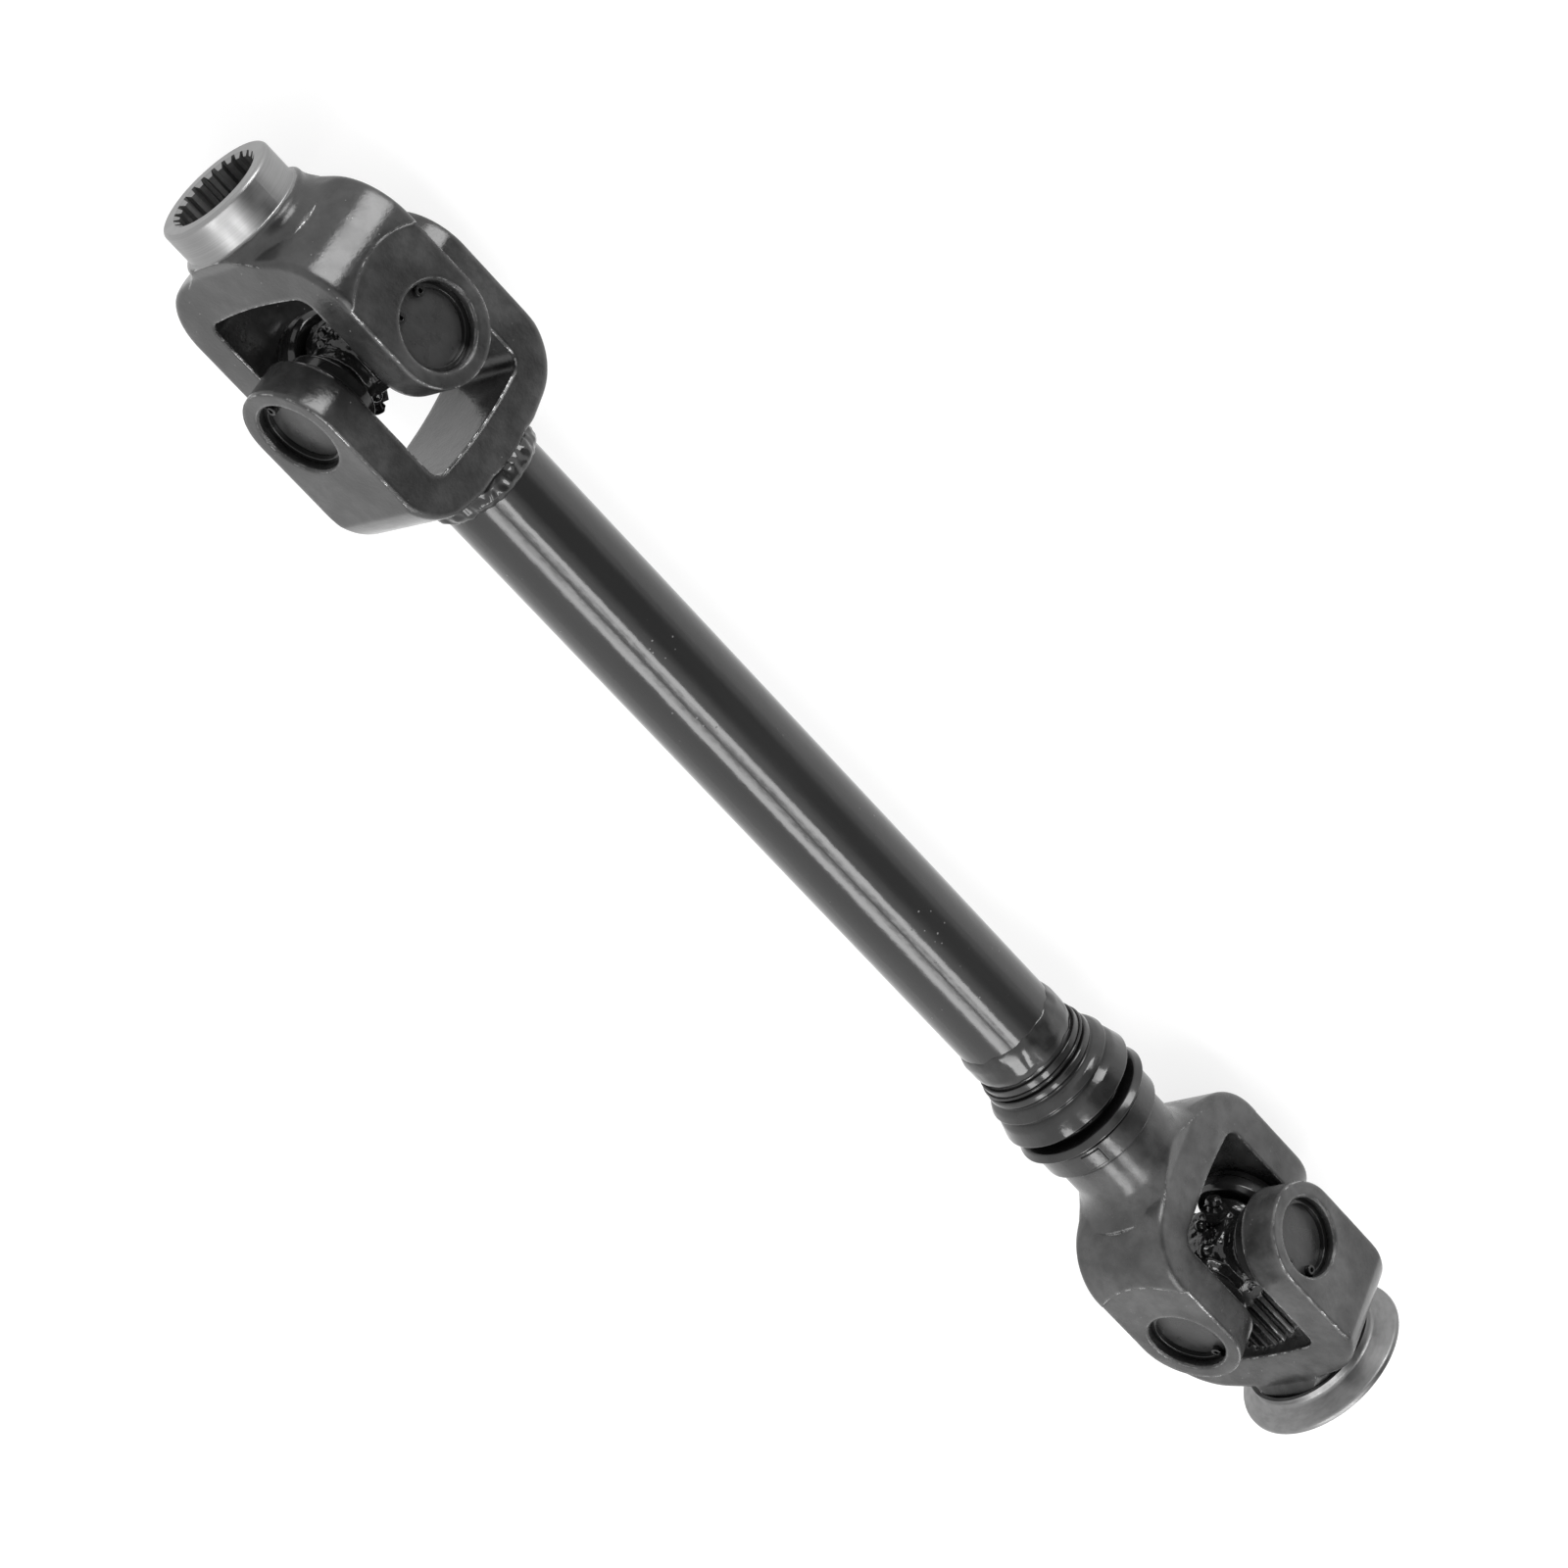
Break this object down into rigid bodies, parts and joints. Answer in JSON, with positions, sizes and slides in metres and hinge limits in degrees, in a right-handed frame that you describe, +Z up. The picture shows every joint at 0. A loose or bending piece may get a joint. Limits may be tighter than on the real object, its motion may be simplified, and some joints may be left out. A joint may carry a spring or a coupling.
{
  "type": "universal joint shaft",
  "caption": "Telescoping drive shaft with a universal joint at each end, splined bores for the mating shafts, a slip spline under a bellows boot and a dust shield.",
  "frame": {"origin": "centre of the shaft's bounding box, on its axis midway between the sleeve mouth and the dust shield's rim", "axes": "+X along the shaft from the splined sleeve to the dust shield; +Z up as the shaft lies on the upper joint's ears; +Y completes the right-handed set"},
  "size_m": [0.4016, 0.0594, 0.0596],
  "materials": {
    "gloss_black_paint": "glossy black enamel over drawn tube",
    "forged_black_paint": "satin black paint over forged steel",
    "machined_steel": "turned and broached steel",
    "bearing_steel": "ground bearing steel",
    "phosphated_steel": "dark phosphated forging with a film of grease",
    "nitrile_rubber": "black rubber",
    "weld": "painted weld bead",
    "spring_steel": "blackened spring steel",
    "zinc_plate": "zinc-plated pressed steel",
    "clamp_band": "black coated steel band"
  },
  "bodies": {
    "shaft": {"tube": "gloss_black_paint", "tube_yoke": "forged_black_paint", "upper_weld": "weld", "lower_weld": "weld", "splined_stub": "machined_steel", "bellows_boot": "nitrile_rubber", "boot_retaining_rings": "spring_steel", "upper_inner_bearing_caps": "bearing_steel", "upper_inner_needle_rollers": "bearing_steel", "upper_inner_seals": "nitrile_rubber", "upper_inner_snap_rings": "spring_steel"},
    "upper_spider": {"upper_cross": "phosphated_steel", "upper_grease_nipple": "zinc_plate"},
    "upper_end": {"upper_outer_yoke": "forged_black_paint", "upper_outer_bearing_caps": "bearing_steel", "upper_outer_needle_rollers": "bearing_steel", "upper_outer_seals": "nitrile_rubber", "upper_outer_snap_rings": "spring_steel"},
    "slip_end": {"slip_yoke": "forged_black_paint", "boot_clamp": "clamp_band", "lower_inner_bearing_caps": "bearing_steel", "lower_inner_needle_rollers": "bearing_steel", "lower_inner_seals": "nitrile_rubber", "lower_inner_snap_rings": "spring_steel"},
    "lower_spider": {"lower_cross": "phosphated_steel", "lower_grease_nipple": "zinc_plate"},
    "lower_end": {"lower_outer_yoke": "forged_black_paint", "dust_shield": "zinc_plate", "lower_outer_bearing_caps": "bearing_steel", "lower_outer_needle_rollers": "bearing_steel", "lower_outer_seals": "nitrile_rubber", "lower_outer_snap_rings": "spring_steel"}
  },
  "joints": [
    {"name": "upper_inner_pivot", "type": "hinge", "parent": "shaft", "child": "upper_spider", "pos_m": [-0.154, 0, 0], "axis": [0, -0.7071, 0.7071], "range_deg": [-25, 25]},
    {"name": "upper_outer_pivot", "type": "hinge", "parent": "upper_spider", "child": "upper_end", "pos_m": [-0.154, 0, 0], "axis": [0, 0.7071, 0.7071], "range_deg": [-25, 25]},
    {"name": "slip_spline", "type": "slide", "parent": "shaft", "child": "slip_end", "axis": [1, 0, 0], "range_m": [-0.006, 0.008], "deforming": ["bellows_boot"]},
    {"name": "lower_inner_pivot", "type": "hinge", "parent": "slip_end", "child": "lower_spider", "pos_m": [0.158, 0, 0], "axis": [0, -0.5878, 0.809], "range_deg": [-25, 25]},
    {"name": "lower_outer_pivot", "type": "hinge", "parent": "lower_spider", "child": "lower_end", "pos_m": [0.158, 0, 0], "axis": [0, 0.809, 0.5878], "range_deg": [-25, 25]}
  ]
}
